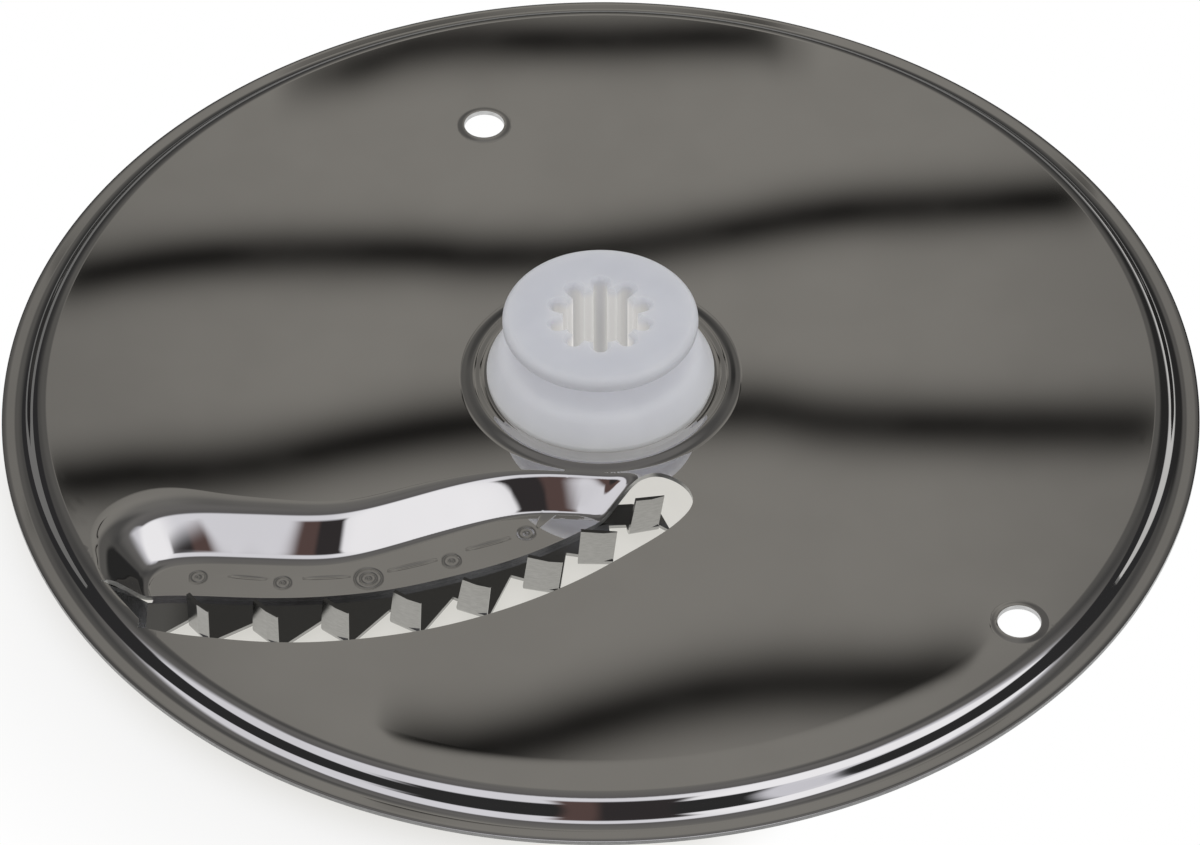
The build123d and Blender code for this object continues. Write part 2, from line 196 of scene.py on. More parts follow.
# Points of the mesh
TURN, HUB_TURN, HOLE_TURN = 720, 144, 72  # points round the disc, the hub and a small hole
WALL_STEPS, FRONT_STEPS, BACK_STEPS, END_STEPS = 9, 12, 16, 24  # steps of the curves of seat and slot
SLOT_STEP, DASH_STEP = 0.5, 0.3
WALL_SHARES = [0, 0.03] + [0.06 + 0.94 * k / 26 for k in range(27)]
WALL_OUTSIDE = -0.04  # share of one more row of points, outside the brim
WELD_RADII = [0.1, 0.2, 0.3, 0.4, 0.52, 0.7]
RING_OFFSETS = [-0.4, -0.28, -0.18, -0.09, 0, 0.09, 0.18, 0.28, 0.42]
DASH_OFFSETS = [-0.6, -0.4, -0.27, -0.18, -0.09, 0, 0.09, 0.18, 0.27, 0.4, 0.6]
LIP_RADII = [3.25, 3.35, 3.47, 3.6, 3.75, 3.9, 4.05, 4.2, 4.35, 4.5, 5.0]
PAD_RADII = [16.75 + 0.17 * k for k in range(28)]
FIELD_RADII = [23 + 3 * k for k in range(18)]
NEAR_RIM_RADII = [76.5, 77.5, 78.5, 79.5, 80.3, 81, 81.6, 82.2, 82.7, 83.1, 83.35, 83.6, 83.85, 84.05, 84.25]
RIM_RADII = [84.7, 84.85, 85.0, 85.2, 85.4, 85.6, 85.85] + [86.1 + 0.13 * k for k in range(15)]
RIM_RADII += [88.05, 88.2, 88.5, 89.2, 89.55, 89.7, 89.8, 89.88, 89.95, DISC_R]

# Rounds of the steps that are repeated until they settle
SPLINE_ROUNDS, EVEN_ROUNDS, AIM_ROUNDS = 60, 12, 6


class Socket:
    """A shader socket; arithmetic on it adds Math nodes."""

    def __init__(self, tree, socket):
        self.tree = tree
        self.socket = socket

    def op(self, kind, *others):
        node = self.tree.nodes.new("ShaderNodeMath")
        node.operation = kind
        for i, value in enumerate((self, *others)):
            put(self.tree, node.inputs[i], value)
        return Socket(self.tree, node.outputs[0])

    def __add__(self, other):
        return self.op("ADD", other)

    def __sub__(self, other):
        return self.op("SUBTRACT", other)

    def __mul__(self, other):
        return self.op("MULTIPLY", other)

    def __truediv__(self, other):
        return self.op("DIVIDE", other)

    def ramp(self, low, high, to_low=0.0, to_high=1.0, soft=True):
        node = self.tree.nodes.new("ShaderNodeMapRange")
        node.interpolation_type = "SMOOTHSTEP" if soft else "LINEAR"
        for i, value in enumerate((self, low, high, to_low, to_high)):
            put(self.tree, node.inputs[i], value)
        return Socket(self.tree, node.outputs[0])

    def curve(self, points, lo, hi, out_lo, out_hi):
        """A smooth curve through points, over the span lo to hi."""
        node = self.tree.nodes.new("ShaderNodeFloatCurve")
        line = node.mapping.curves[0]
        while len(line.points) < len(points):
            line.points.new(0.5, 0.5)
        for p, (x, y) in zip(line.points, points):
            p.location = ((x - lo) / (hi - lo), (y - out_lo) / (out_hi - out_lo))
            p.handle_type = "AUTO_CLAMPED"
        node.mapping.update()
        put(self.tree, node.inputs["Value"], (self - lo) / (hi - lo))
        return Socket(self.tree, node.outputs[0]) * (out_hi - out_lo) + out_lo


def put(tree, target, value):
    """Link a socket to the target, or set the target to a plain value."""
    if isinstance(value, Socket):
        tree.links.new(value.socket, target)
    else:
        target.default_value = value


def constant(tree, value):
    node = tree.nodes.new("ShaderNodeValue")
    node.outputs[0].default_value = value
    return Socket(tree, node.outputs[0])


def mix_rgb(tree, share, a, b):
    node = tree.nodes.new("ShaderNodeMix")
    node.data_type = "RGBA"
    put(tree, node.inputs["Factor"], share)
    put(tree, node.inputs["A"], a)
    put(tree, node.inputs["B"], b)
    return Socket(tree, node.outputs["Result"])


def mix_shader(tree, share, a, b):
    node = tree.nodes.new("ShaderNodeMixShader")
    put(tree, node.inputs[0], share)
    tree.links.new(a.outputs[0], node.inputs[1])
    tree.links.new(b.outputs[0], node.inputs[2])
    return node


def coordinates(tree, kind):
    """The three parts of a texture coordinate."""
    coords = tree.nodes.new("ShaderNodeTexCoord")
    split = tree.nodes.new("ShaderNodeSeparateXYZ")
    tree.links.new(coords.outputs[kind], split.inputs[0])
    return [Socket(tree, split.outputs[i]) for i in range(3)]


def ray(tree, kind):
    path = tree.nodes.new("ShaderNodeLightPath")
    return Socket(tree, path.outputs[kind])


def make_camera():
    ahead = Vector((0, math.cos(ELEVATION), -math.sin(ELEVATION)))
    side = Vector((1, 0, 0))
    up = side.cross(ahead)
    right = side * math.cos(ROLL) + up * math.sin(ROLL)
    top = -side * math.sin(ROLL) + up * math.cos(ROLL)
    data = bpy.data.cameras.new("camera")
    data.sensor_width = SENSOR_W
    data.lens = FOCAL_PIXELS / IMAGE_W * SENSOR_W
    data.shift_x = (IMAGE_W / 2 - CENTRE_X) / IMAGE_W
    data.shift_y = (CENTRE_Y - IMAGE_H / 2) / IMAGE_W
    data.clip_start = 0.05
    data.clip_end = 20
    cam = bpy.data.objects.new("camera", data)
    turn = Matrix((right, top, -ahead)).transposed()
    place = Vector((0, 0, AIM_Z)) - ahead * DISTANCE
    cam.matrix_world = Matrix.Translation(place) @ turn.to_4x4()
    scene.collection.objects.link(cam)
    scene.camera = cam


def seam_shade(tree, x, y, z):
    """How dark the seams are in a direction."""
    up = z.op("MAXIMUM", HORIZON)
    u, v = x / up, y / up
    dark = None
    for course, width, strength in SEAMS:
        off = (v - u.curve(course, -SEAM_SPAN, SEAM_SPAN, SEAM_LOW, SEAM_HIGH)) / width
        bell = constant(tree, math.e).op("POWER", off * off * -1.0)
        seam = bell * u.curve(strength, -SEAM_SPAN, SEAM_SPAN, 0.0, 1.0)
        dark = seam if dark is None else dark.op("MAXIMUM", seam)
    return dark


def arch_light(tree, over):
    ramp = tree.nodes.new("ShaderNodeValToRGB")
    ramp.color_ramp.interpolation = "EASE"
    elements = ramp.color_ramp.elements
    while len(elements) < len(ARCH):
        elements.new(0.5)
    for element, (angle, colour) in zip(elements, ARCH):
        element.position = (angle - ARCH_START) / ARCH_SPAN
        element.color = (*colour, 1)
    put(tree, ramp.inputs[0], (over - ARCH_START) / ARCH_SPAN)
    return Socket(tree, ramp.outputs[0])


def panel_light(tree, x, y, z):
    """The light panels round the table, as the steel reflects them."""
    over = z.op("ARCTAN2", y) * (180 / math.pi)
    beside = x.op("ABSOLUTE")
    near = y.ramp(0.12, -0.12)
    # each layer: where it lies, and its colour
    layers = [
        # the far panels fade out to the sides
        (beside.ramp(0.34, 0.62) * y.ramp(0.05, 0.3) * 0.45, (0.06, 0.06, 0.06, 1)),
        (beside.ramp(0.04, 0.20) * y.ramp(0.2, 0.4) * 0.66, (0.05, 0.05, 0.052, 1)),
        # dark low down beside the table
        (beside.ramp(0.3, 0.5) * z.ramp(0.5, 0.1) * y.ramp(0.0, 0.15), (0.045, 0.045, 0.045, 1)),
        # bright on both sides of the camera and to the right
        (near * x.ramp(0.38, 0.46) * x.ramp(0.66, 0.58), (0.86, 0.86, 0.94, 1)),
        (near * beside.ramp(0.45, 0.6) * z.ramp(0.42, 0.5), (0.95, 0.95, 1.02, 1)),
        (x.ramp(0.02, 0.3) * over.ramp(94.0, 101.0) * over.ramp(138.0, 131.0), (1.28, 1.28, 1.34, 1)),
        # dark below those, and at the far right
        (beside.ramp(0.60, 0.67) * z.ramp(0.46, 0.38), (0.035, 0.035, 0.037, 1)),
        (x.ramp(0.36, 0.52) * y.ramp(0.45, 0.6) * z.ramp(0.68, 0.5), (0.03, 0.03, 0.03, 1)),
    ]
    light = arch_light(tree, over)
    for where, colour in layers:
        light = mix_rgb(tree, where, light, colour)

    # a dark patch between the lights, reddish on its left
    patch = x.ramp(-0.13, -0.08) * x.ramp(0.215, 0.165) * over.ramp(112.0, 120.0) * near
    shade = mix_rgb(tree, x.ramp(-0.03, 0.01), PATCH_LEFT, PATCH_RIGHT)
    light = mix_rgb(tree, patch, light, shade)
    return mix_rgb(tree, seam_shade(tree, x, y, z) * SEAM_DARK, light, BLACK)


def background(tree, colour):
    node = tree.nodes.new("ShaderNodeBackground")
    put(tree, node.inputs["Color"], colour)
    return node


def make_world():
    world = bpy.data.worlds.new("studio")
    scene.world = world
    world.use_nodes = True
    tree = world.node_tree
    tree.nodes.clear()
    x, y, z = coordinates(tree, "Generated")
    # the panels show in reflections only: the object is lit by a plain, soft light
    panels = background(tree, panel_light(tree, x, y, z))
    slant = (x * 0.3 + z * 0.7).ramp(-0.3, 1.0)
    soft = background(tree, mix_rgb(tree, slant, SOFT_LOW, SOFT_HIGH))
    shown = mix_shader(tree, ray(tree, "Is Glossy Ray"), soft, panels)
    seen = mix_shader(tree, ray(tree, "Is Camera Ray"), shown, background(tree, WHITE))
    out = tree.nodes.new("ShaderNodeOutputWorld")
    tree.links.new(seen.outputs[0], out.inputs[0])


def material(name):
    mat = bpy.data.materials.new(name)
    mat.use_nodes = True
    tree = mat.node_tree
    return mat, tree, tree.nodes["Principled BSDF"]


def noise(tree, scale, detail=2.0, stretch=1):
    """Noise from 0 to 1 with its middle spread out, finer along z by stretch."""
    coords = tree.nodes.new("ShaderNodeTexCoord")
    mapping = tree.nodes.new("ShaderNodeMapping")
    mapping.inputs["Scale"].default_value = (1, 1, stretch)
    tree.links.new(coords.outputs["Object"], mapping.inputs[0])
    node = tree.nodes.new("ShaderNodeTexNoise")
    node.inputs["Scale"].default_value = scale
    node.inputs["Detail"].default_value = detail
    tree.links.new(mapping.outputs[0], node.inputs["Vector"])
    return Socket(tree, node.outputs["Fac"]).ramp(0.3, 0.7)


def polished_steel():
    mat, tree, shader = material("polished_steel")
    dull, bright = (0.605, 0.595, 0.58, 1), (0.635, 0.625, 0.61, 1)
    smooth, rough = 0.018, 0.028
    shader.inputs["Metallic"].default_value = 1.0
    put(tree, shader.inputs["Base Color"], mix_rgb(tree, noise(tree, 60), dull, bright))
    put(tree, shader.inputs["Roughness"], noise(tree, 40, 3) * (rough - smooth) + smooth)
    return mat


def cut_steel():
    mat, tree, shader = material("cut_steel")
    dull, bright = (0.50, 0.50, 0.495, 1), (0.60, 0.60, 0.595, 1)
    smooth, rough = 0.3, 0.42
    shader.inputs["Metallic"].default_value = 1.0
    put(tree, shader.inputs["Base Color"], mix_rgb(tree, noise(tree, 900, stretch=4), dull, bright))
    put(tree, shader.inputs["Roughness"], noise(tree, 1500, stretch=4) * (rough - smooth) + smooth)
    return mat


def blade_steel():
    mat, tree, shader = material("blade_steel")
    tooth_dull, tooth_bright = (0.44, 0.44, 0.435, 1), (0.49, 0.49, 0.485, 1)
    # painted shade on the strip: a dark colour, lighter at the strip's outer end
    strip_painted_shade, strip_end_painted_lighter = (0.12, 0.12, 0.118, 1), (0.30, 0.30, 0.295, 1)
    smooth, rough = 0.14, 0.18
    grain = noise(tree, 900, stretch=5)
    # painted shade: the flat strip is coloured darker than the teeth and their folds, but lighter at its
    # outer end
    painted_shade_share = coordinates(tree, "Normal")[2].ramp(0.80, 0.96)
    outer_end = coordinates(tree, "Object")[0].ramp(-58 * MM, -64 * MM)
    tooth = mix_rgb(tree, grain, tooth_dull, tooth_bright)
    painted_shade_strip = mix_rgb(tree, outer_end, strip_painted_shade, strip_end_painted_lighter)
    shader.inputs["Metallic"].default_value = 1.0
    put(tree, shader.inputs["Base Color"], mix_rgb(tree, painted_shade_share, tooth, painted_shade_strip))
    put(tree, shader.inputs["Roughness"], grain * (rough - smooth) + smooth)
    return mat


def hub_plastic():
    mat, tree, shader = material("hub_plastic")
    dull_white, bright_white = (0.645, 0.66, 0.715, 1), (0.675, 0.69, 0.745, 1)
    # painted shade and glow in the socket: a greyer colour and a glow stand in for its light
    socket_painted_shade, socket_painted_glow = (0.36, 0.365, 0.375, 1), 0.32
    smooth, rough = 0.32, 0.40
    x, y, z = coordinates(tree, "Object")
    socket = (x * x + y * y).op("SQRT").ramp(8.3 * MM, 7.2 * MM) * z.ramp(20.5 * MM, 18.5 * MM)
    white = mix_rgb(tree, noise(tree, 120), dull_white, bright_white)
    put(tree, shader.inputs["Base Color"], mix_rgb(tree, socket, white, socket_painted_shade))
    put(tree, shader.inputs["Roughness"], noise(tree, 700) * (rough - smooth) + smooth)
    shader.inputs["Subsurface Weight"].default_value = 1.0
    shader.inputs["Subsurface Radius"].default_value = (1.0, 0.95, 0.95)
    shader.inputs["Subsurface Scale"].default_value = 6 * MM
    shader.inputs["Specular IOR Level"].default_value = 0.4
    # a painted glow stands in for light that has come through the thin walls: faint, and stronger under the
    # collar and in the socket
    painted_glow = z.ramp(18.1 * MM, 17.2 * MM, 0.028, 0.16) - z.ramp(14.6 * MM, 13.0 * MM, 0.0, 0.04)
    shader.inputs["Emission Color"].default_value = (1.0, 0.975, 0.93, 1)
    put(tree, shader.inputs["Emission Strength"], painted_glow.op("MAXIMUM", socket * socket_painted_glow))
    return mat


def floor_material():
    mat = bpy.data.materials.new("floor")
    mat.use_nodes = True
    tree = mat.node_tree
    tree.nodes.clear()
    x, y, _ = coordinates(tree, "Object")
    radius = (x * x + y * y).op("SQRT")
    # dimmer where the slot shows it, and creamier there: a painted shade under the disc
    slot_x, slot_y = x - SLOT_MIDDLE_X, y - SLOT_MIDDLE_Y
    slot_away = (slot_x * slot_x + slot_y * slot_y).op("SQRT").ramp(56 * MM, 76 * MM)
    bright = radius.ramp(70 * MM, 130 * MM).op("MAXIMUM", slot_away)
    bright = bright.ramp(0.0, 1.0, UNDER_SLOT, 1.0, soft=False)
    # share of white glow; towards the disc the glow turns to the painted shade's cream
    white = radius.ramp(78 * MM, 95 * MM).op("MAXIMUM", slot_away)
    # dimmer beyond the disc in reflections, but less so on the right
    beyond = radius.ramp(88 * MM, 97 * MM) * ray(tree, "Is Glossy Ray")
    right = x.ramp(75 * MM, 88 * MM) * y.ramp(85 * MM, 50 * MM)
    glow = tree.nodes.new("ShaderNodeEmission")
    put(tree, glow.inputs["Color"], mix_rgb(tree, white, FLOOR_PAINTED_SHADE, WHITE))
    put(tree, glow.inputs["Strength"], beyond * (right * BEYOND_RIGHT - BEYOND_DIM) + 1.0)
    diffuse = tree.nodes.new("ShaderNodeBsdfDiffuse")
    diffuse.inputs["Color"].default_value = FLOOR_GREY
    seen = ray(tree, "Is Camera Ray").op("MAXIMUM", ray(tree, "Is Glossy Ray"))
    seen = seen.op("MAXIMUM", ray(tree, "Is Transmission Ray"))
    mix = mix_shader(tree, seen * bright, diffuse, glow)
    out = tree.nodes.new("ShaderNodeOutputMaterial")
    tree.links.new(mix.outputs[0], out.inputs[0])
    return mat


def make_floor():
    mesh = bpy.data.meshes.new("floor")
    half = FLOOR_HALF
    corners = [(-half, -half, 0), (half, -half, 0), (half, half, 0), (-half, half, 0)]
    mesh.from_pydata(corners, [], [(0, 1, 2, 3)])
    mesh.materials.append(floor_material())
    floor = bpy.data.objects.new("floor", mesh)
    scene.collection.objects.link(floor)


def rounded_profile(corners, rounds):
    """Height and slope along a radius, for a line with rounded corners."""
    pieces = []
    at = corners[0]
    for (r0, z0), (r1, z1), (r2, z2), big in zip(corners, corners[1:], corners[2:], rounds):
        a, b = math.atan2(z1 - z0, r1 - r0), math.atan2(z2 - z1, r2 - r1)
        cut = big * abs(math.tan((b - a) / 2))
        start = (r1 - cut * math.cos(a), z1 - cut * math.sin(a))
        way = 1 if b > a else -1
        pieces.append((start[0], at, math.tan(a), None))
        centre = (start[0] - way * big * math.sin(a), start[1] + way * big * math.cos(a))
        at = (r1 + cut * math.cos(b), z1 + cut * math.sin(b))
        pieces.append((at[0], centre, big, way))
    pieces.append((math.inf, at, math.tan(b), None))

    def height(r):
        end, (pr, pz), value, way = next(piece for piece in pieces if r <= piece[0])
        if way is None:
            return pz + (r - pr) * value, value
        q = math.sqrt(max(value * value - (r - pr) ** 2, 1e-9))
        return pz - way * q, way * (r - pr) / q

    return height


def wall_profile(shoulder, foot):
    """Drop and its rate across the seat's wall, from the brim (0) to the land (1)."""
    slope = SEAT_SLOPE
    top_cut, foot_cut = shoulder * math.tan(slope / 2), foot * math.tan(slope / 2)
    span = top_cut + SEAT_DEPTH / math.tan(slope) + foot_cut

    def drop(share):
        along = share * span
        if along < shoulder * math.sin(slope):
            lean = math.asin(along / shoulder)
            return shoulder * (1 - math.cos(lean)), math.tan(lean) * span
        if along > span - foot * math.sin(slope):
            lean = math.asin(max(0.0, (span - along) / foot))
            return SEAT_DEPTH - foot * (1 - math.cos(lean)), math.tan(lean) * span
        return (along - top_cut) * math.tan(slope), math.tan(slope) * span

    return drop


# Section and seat wall of the drive side and of the food side
SIDES = [
    (rounded_profile(TOP_LINE, TOP_ROUNDS), wall_profile(SEAT_SHOULDER, SEAT_FOOT)),
    (rounded_profile(LOW_LINE, LOW_ROUNDS), wall_profile(SEAT_SHOULDER - SHEET, SEAT_FOOT + SHEET)),
]


def spline_slopes(points, closed):
    """Lengths between points and the slope of a natural cubic spline at each, by relaxation."""
    n = len(points)
    count = n if closed else n - 1
    runs = [math.dist(points[k], points[(k + 1) % n]) for k in range(count)]
    chords = [[(points[(k + 1) % n][c] - points[k][c]) / runs[k] for c in (0, 1)] for k in range(count)]
    slopes = [list(chords[min(k, count - 1)]) for k in range(n)]
    for _ in range(SPLINE_ROUNDS):
        for k in range(n):
            for c in (0, 1):
                if closed or 0 < k < n - 1:
                    a, b = runs[k - 1], runs[k % count]
                    pull = 3 * (b * chords[k - 1][c] + a * chords[k % count][c])
                    sides = b * slopes[k - 1][c], a * slopes[(k + 1) % n][c]
                    slopes[k][c] = (pull - sides[0] - sides[1]) / (2 * (a + b))
                elif k == 0:
                    slopes[k][c] = (3 * chords[0][c] - slopes[1][c]) / 2
                else:
                    slopes[k][c] = (3 * chords[-1][c] - slopes[-2][c]) / 2
    return runs, slopes


def spline(points, closed, steps):
    """Smooth curve through points: positions, and their rate per run between two points."""
    runs, slopes = spline_slopes(points, closed)
    out = []
    for k, run in enumerate(runs):
        j = (k + 1) % len(points)
        for f in (i / steps for i in range(steps)):
            spot, rate = [], []
            for p, q, a, b in zip(points[k], points[j], slopes[k], slopes[j]):
                a, b = a * run, b * run
                c2, c3 = 3 * (q - p) - 2 * a - b, 2 * (p - q) + a + b
                spot.append(p + f * (a + f * (c2 + f * c3)))
                rate.append(a + f * (2 * c2 + f * 3 * c3))
            out.append((tuple(spot), tuple(rate)))
    if not closed:
        out.append((points[-1], out[-1][1]))
    return out


def ring(cx, cy, r, n):
    return [(cx + r * math.cos(math.tau * k / n), cy + r * math.sin(math.tau * k / n)) for k in range(n)]


def between(a, b, f):
    return a[0] + f * (b[0] - a[0]), a[1] + f * (b[1] - a[1])


def inside(x, y, loop):
    odd = False
    ax, ay = loop[-1]
    for bx, by in loop:
        if (ay > y) != (by > y) and x < ax + (y - ay) / (by - ay) * (bx - ax):
            odd = not odd
        ax, ay = bx, by
    return odd


def even(points, step):
    """The same line, cut into runs no longer than step."""
    out = []
    for a, b in zip(points, points[1:]):
        n = max(1, math.ceil(math.dist(a, b) / step))
        out += [between(a, b, k / n) for k in range(n)]
    return out


def slot_outline():
    front = [p for p, _ in spline(SLOT_FRONT, False, FRONT_STEPS)]
    back = [p for p, _ in spline(SLOT_BACK, False, BACK_STEPS)]
    first, last = (math.degrees(math.atan2(y, x)) for x, y in (SLOT_BACK[-1], SLOT_FRONT[0]))
    turn = last - first - 2 * SLOT_END_TURN
    steps = range(END_STEPS + 1)
    angles = [math.radians(first + SLOT_END_TURN + turn * k / END_STEPS) for k in steps]
    end = [(SLOT_END_R * math.cos(a), SLOT_END_R * math.sin(a)) for a in angles]
    return even([*front, *back, *end, front[0]], SLOT_STEP)


class Seat:
    """The blade seat's wall: outlines of brim and land, joined point to point."""

    def __init__(self):
        self.brim = spline(BRIM, True, WALL_STEPS)
        self.land = spline(LAND, True, WALL_STEPS)
        self.brim_line = [p for p, _ in self.brim]
        self.land_line = [p for p, _ in self.land]
        self.laps = laps = len(self.brim)
        widths = [math.dist(a, b) / SEAT_RUN for a, b in zip(self.brim_line, self.land_line)]
        power = [1 + WIDE_SAG * max(0.0, w - 1) for w in widths]
        for _ in range(EVEN_ROUNDS):
            power = [(power[k - 1] + power[k] + power[(k + 1) % laps]) / 3 for k in range(laps)]
        self.power = power
        self.power_rate = [(power[(k + 1) % laps] - power[k - 1]) / 2 * WALL_STEPS for k in range(laps)]
        self.grid = [(t, s, self.spot(t, s)) for s in WALL_SHARES for t in range(laps)]

    def spot(self, t, share):
        """A place on the wall, and the gradients of share and of t there."""
        k, f = int(t) % self.laps, t - int(t)
        j = (k + 1) % self.laps
        top = between(self.brim[k][0], self.brim[j][0], f)
        foot = between(self.land[k][0], self.land[j][0], f)
        top_rate = between(self.brim[k][1], self.brim[j][1], f)
        foot_rate = between(self.land[k][1], self.land[j][1], f)
        tx, ty = between(top_rate, foot_rate, share)
        sx, sy = foot[0] - top[0], foot[1] - top[1]
        area = tx * sy - ty * sx
        return between(top, foot, share), (-ty / area, tx / area), (sy / area, -sx / area)

    def lowered(self, t, share, spot):
        """How far down the drop is at a spot of the wall, as a share, and its gradient."""
        k, f = int(t) % self.laps, t - int(t)
        j = (k + 1) % self.laps
        p = self.power[k] + f * (self.power[j] - self.power[k])
        q = self.power_rate[k] + f * (self.power_rate[j] - self.power_rate[k])
        share = max(share, 1e-6)
        low = share**p
        a, b = p * share ** (p - 1), low * math.log(share) * q
        return low, tuple(a * spot[1][c] + b * spot[2][c] for c in (0, 1))

    def at(self, x, y):
        """How far down the seat a place lies, as a share, and its gradient."""
        if not inside(x, y, self.brim_line):
            return 0.0, (0.0, 0.0)
        if inside(x, y, self.land_line):
            return 1.0, (0.0, 0.0)
        t, s, spot = min(self.grid, key=lambda g: (g[2][0][0] - x) ** 2 + (g[2][0][1] - y) ** 2)
        for _ in range(AIM_ROUNDS):
            dx, dy = x - spot[0][0], y - spot[0][1]
            t += (dx * spot[2][0] + dy * spot[2][1]) * WALL_STEPS
            s = min(1.0, max(0.0, s + dx * spot[1][0] + dy * spot[1][1]))
            spot = self.spot(t % self.laps, s)
        return self.lowered(t % self.laps, s, spot)


def curl_at(y, r, share):
    """How far the field curls down before the rim, and its rate along the radius."""
    f = min(1.0, max(0.0, (r - CURL_R) / CURL_W))
    g = min(1.0, max(0.0, (CURL_END_R - r) / CURL_END_W))
    curl, rate = -CURL * f * f, -2 * CURL * f / CURL_W
    if f >= 1:
        curl, rate = -CURL * g * g * (3 - 2 * g), CURL * 6 * g * (1 - g) / CURL_END_W
    part = (1 - share) * max(0.0, -y / r) ** 2
    return curl * part, rate * part


def lift_side(side, lift, gx, gy):
    side[0] += lift
    side[1] += gx
    side[2] += gy


def add_lips(sides, x, y):
    for cx, cy in SMALL_HOLES:
        off = math.dist((x, y), (cx, cy))
        if off < HOLE_R + LIP_W:
            e = max(0.0, off - HOLE_R) / LIP_W
            pull = -LIP_H * 4 * e * (1 - e * e) / LIP_W
            for side in sides:
                lift_side(side, LIP_H * (1 - e * e) ** 2, pull * (x - cx) / off, pull * (y - cy) / off)


def add_welds(side, x, y):
    for cx, cy, rings in WELDS:
        off = math.dist((x, y), (cx, cy))
        if 0.01 < off < WELD_REACH:
            for mark in rings:
                e = (off - mark) / WELD_W
                lift = -WELD_DEPTH * math.exp(-e * e)
                pull = -2 * e / WELD_W * lift
                lift_side(side, lift, pull * (x - cx) / off, pull * (y - cy) / off)


def add_dashes(side, x, y):
    for (ax, ay), (bx, by) in DASHES:
        size = math.dist((ax, ay), (bx, by))
        ux, uy = (bx - ax) / size, (by - ay) / size
        u = ((x - ax) * ux + (y - ay) * uy) / size
        v = (y - ay) * ux - (x - ax) * uy
        if 0 < u < 1 and abs(v) < DASH_REACH:
            e = v / DASH_W
            bell = DASH_DEPTH * math.exp(-e * e)
            lift = -4 * u * (1 - u) * bell
            across, along = -2 * e / DASH_W * lift, -4 * (1 - 2 * u) / size * bell
            lift_side(side, lift, along * ux - across * uy, along * uy + across * ux)


def heights(x, y, seat):
    """Height and gradient of the drive side and of the food side at a place."""
    r = math.hypot(x, y)
    share, grad = seat or (0.0, (0.0, 0.0))
    curl, curl_rate = curl_at(y, r, share)
    sides = []
    for profile, wall in SIDES:
        z, rate = profile(r)
        if r > EDGE_WEAR_R and not sides:
            z, rate = z - EDGE_WEAR * (r - EDGE_WEAR_R) ** 2, rate - 2 * EDGE_WEAR * (r - EDGE_WEAR_R)
        rate += curl_rate
        drop, drop_rate = wall(min(1.0, share)) if share > 0 else (0.0, 0.0)
        steep = drop_rate * math.hypot(*grad)
        drop_rate /= (1 + (steep / STEEPEST) ** STEEP_POWER) ** (1 / STEEP_POWER)
        gx, gy = (rate * way / r - drop_rate * fall for way, fall in zip((x, y), grad))
        sides.append([z + curl - drop, gx, gy])
    add_lips(sides, x, y)
    add_welds(sides[0], x, y)
    add_dashes(sides[0], x, y)
    return sides


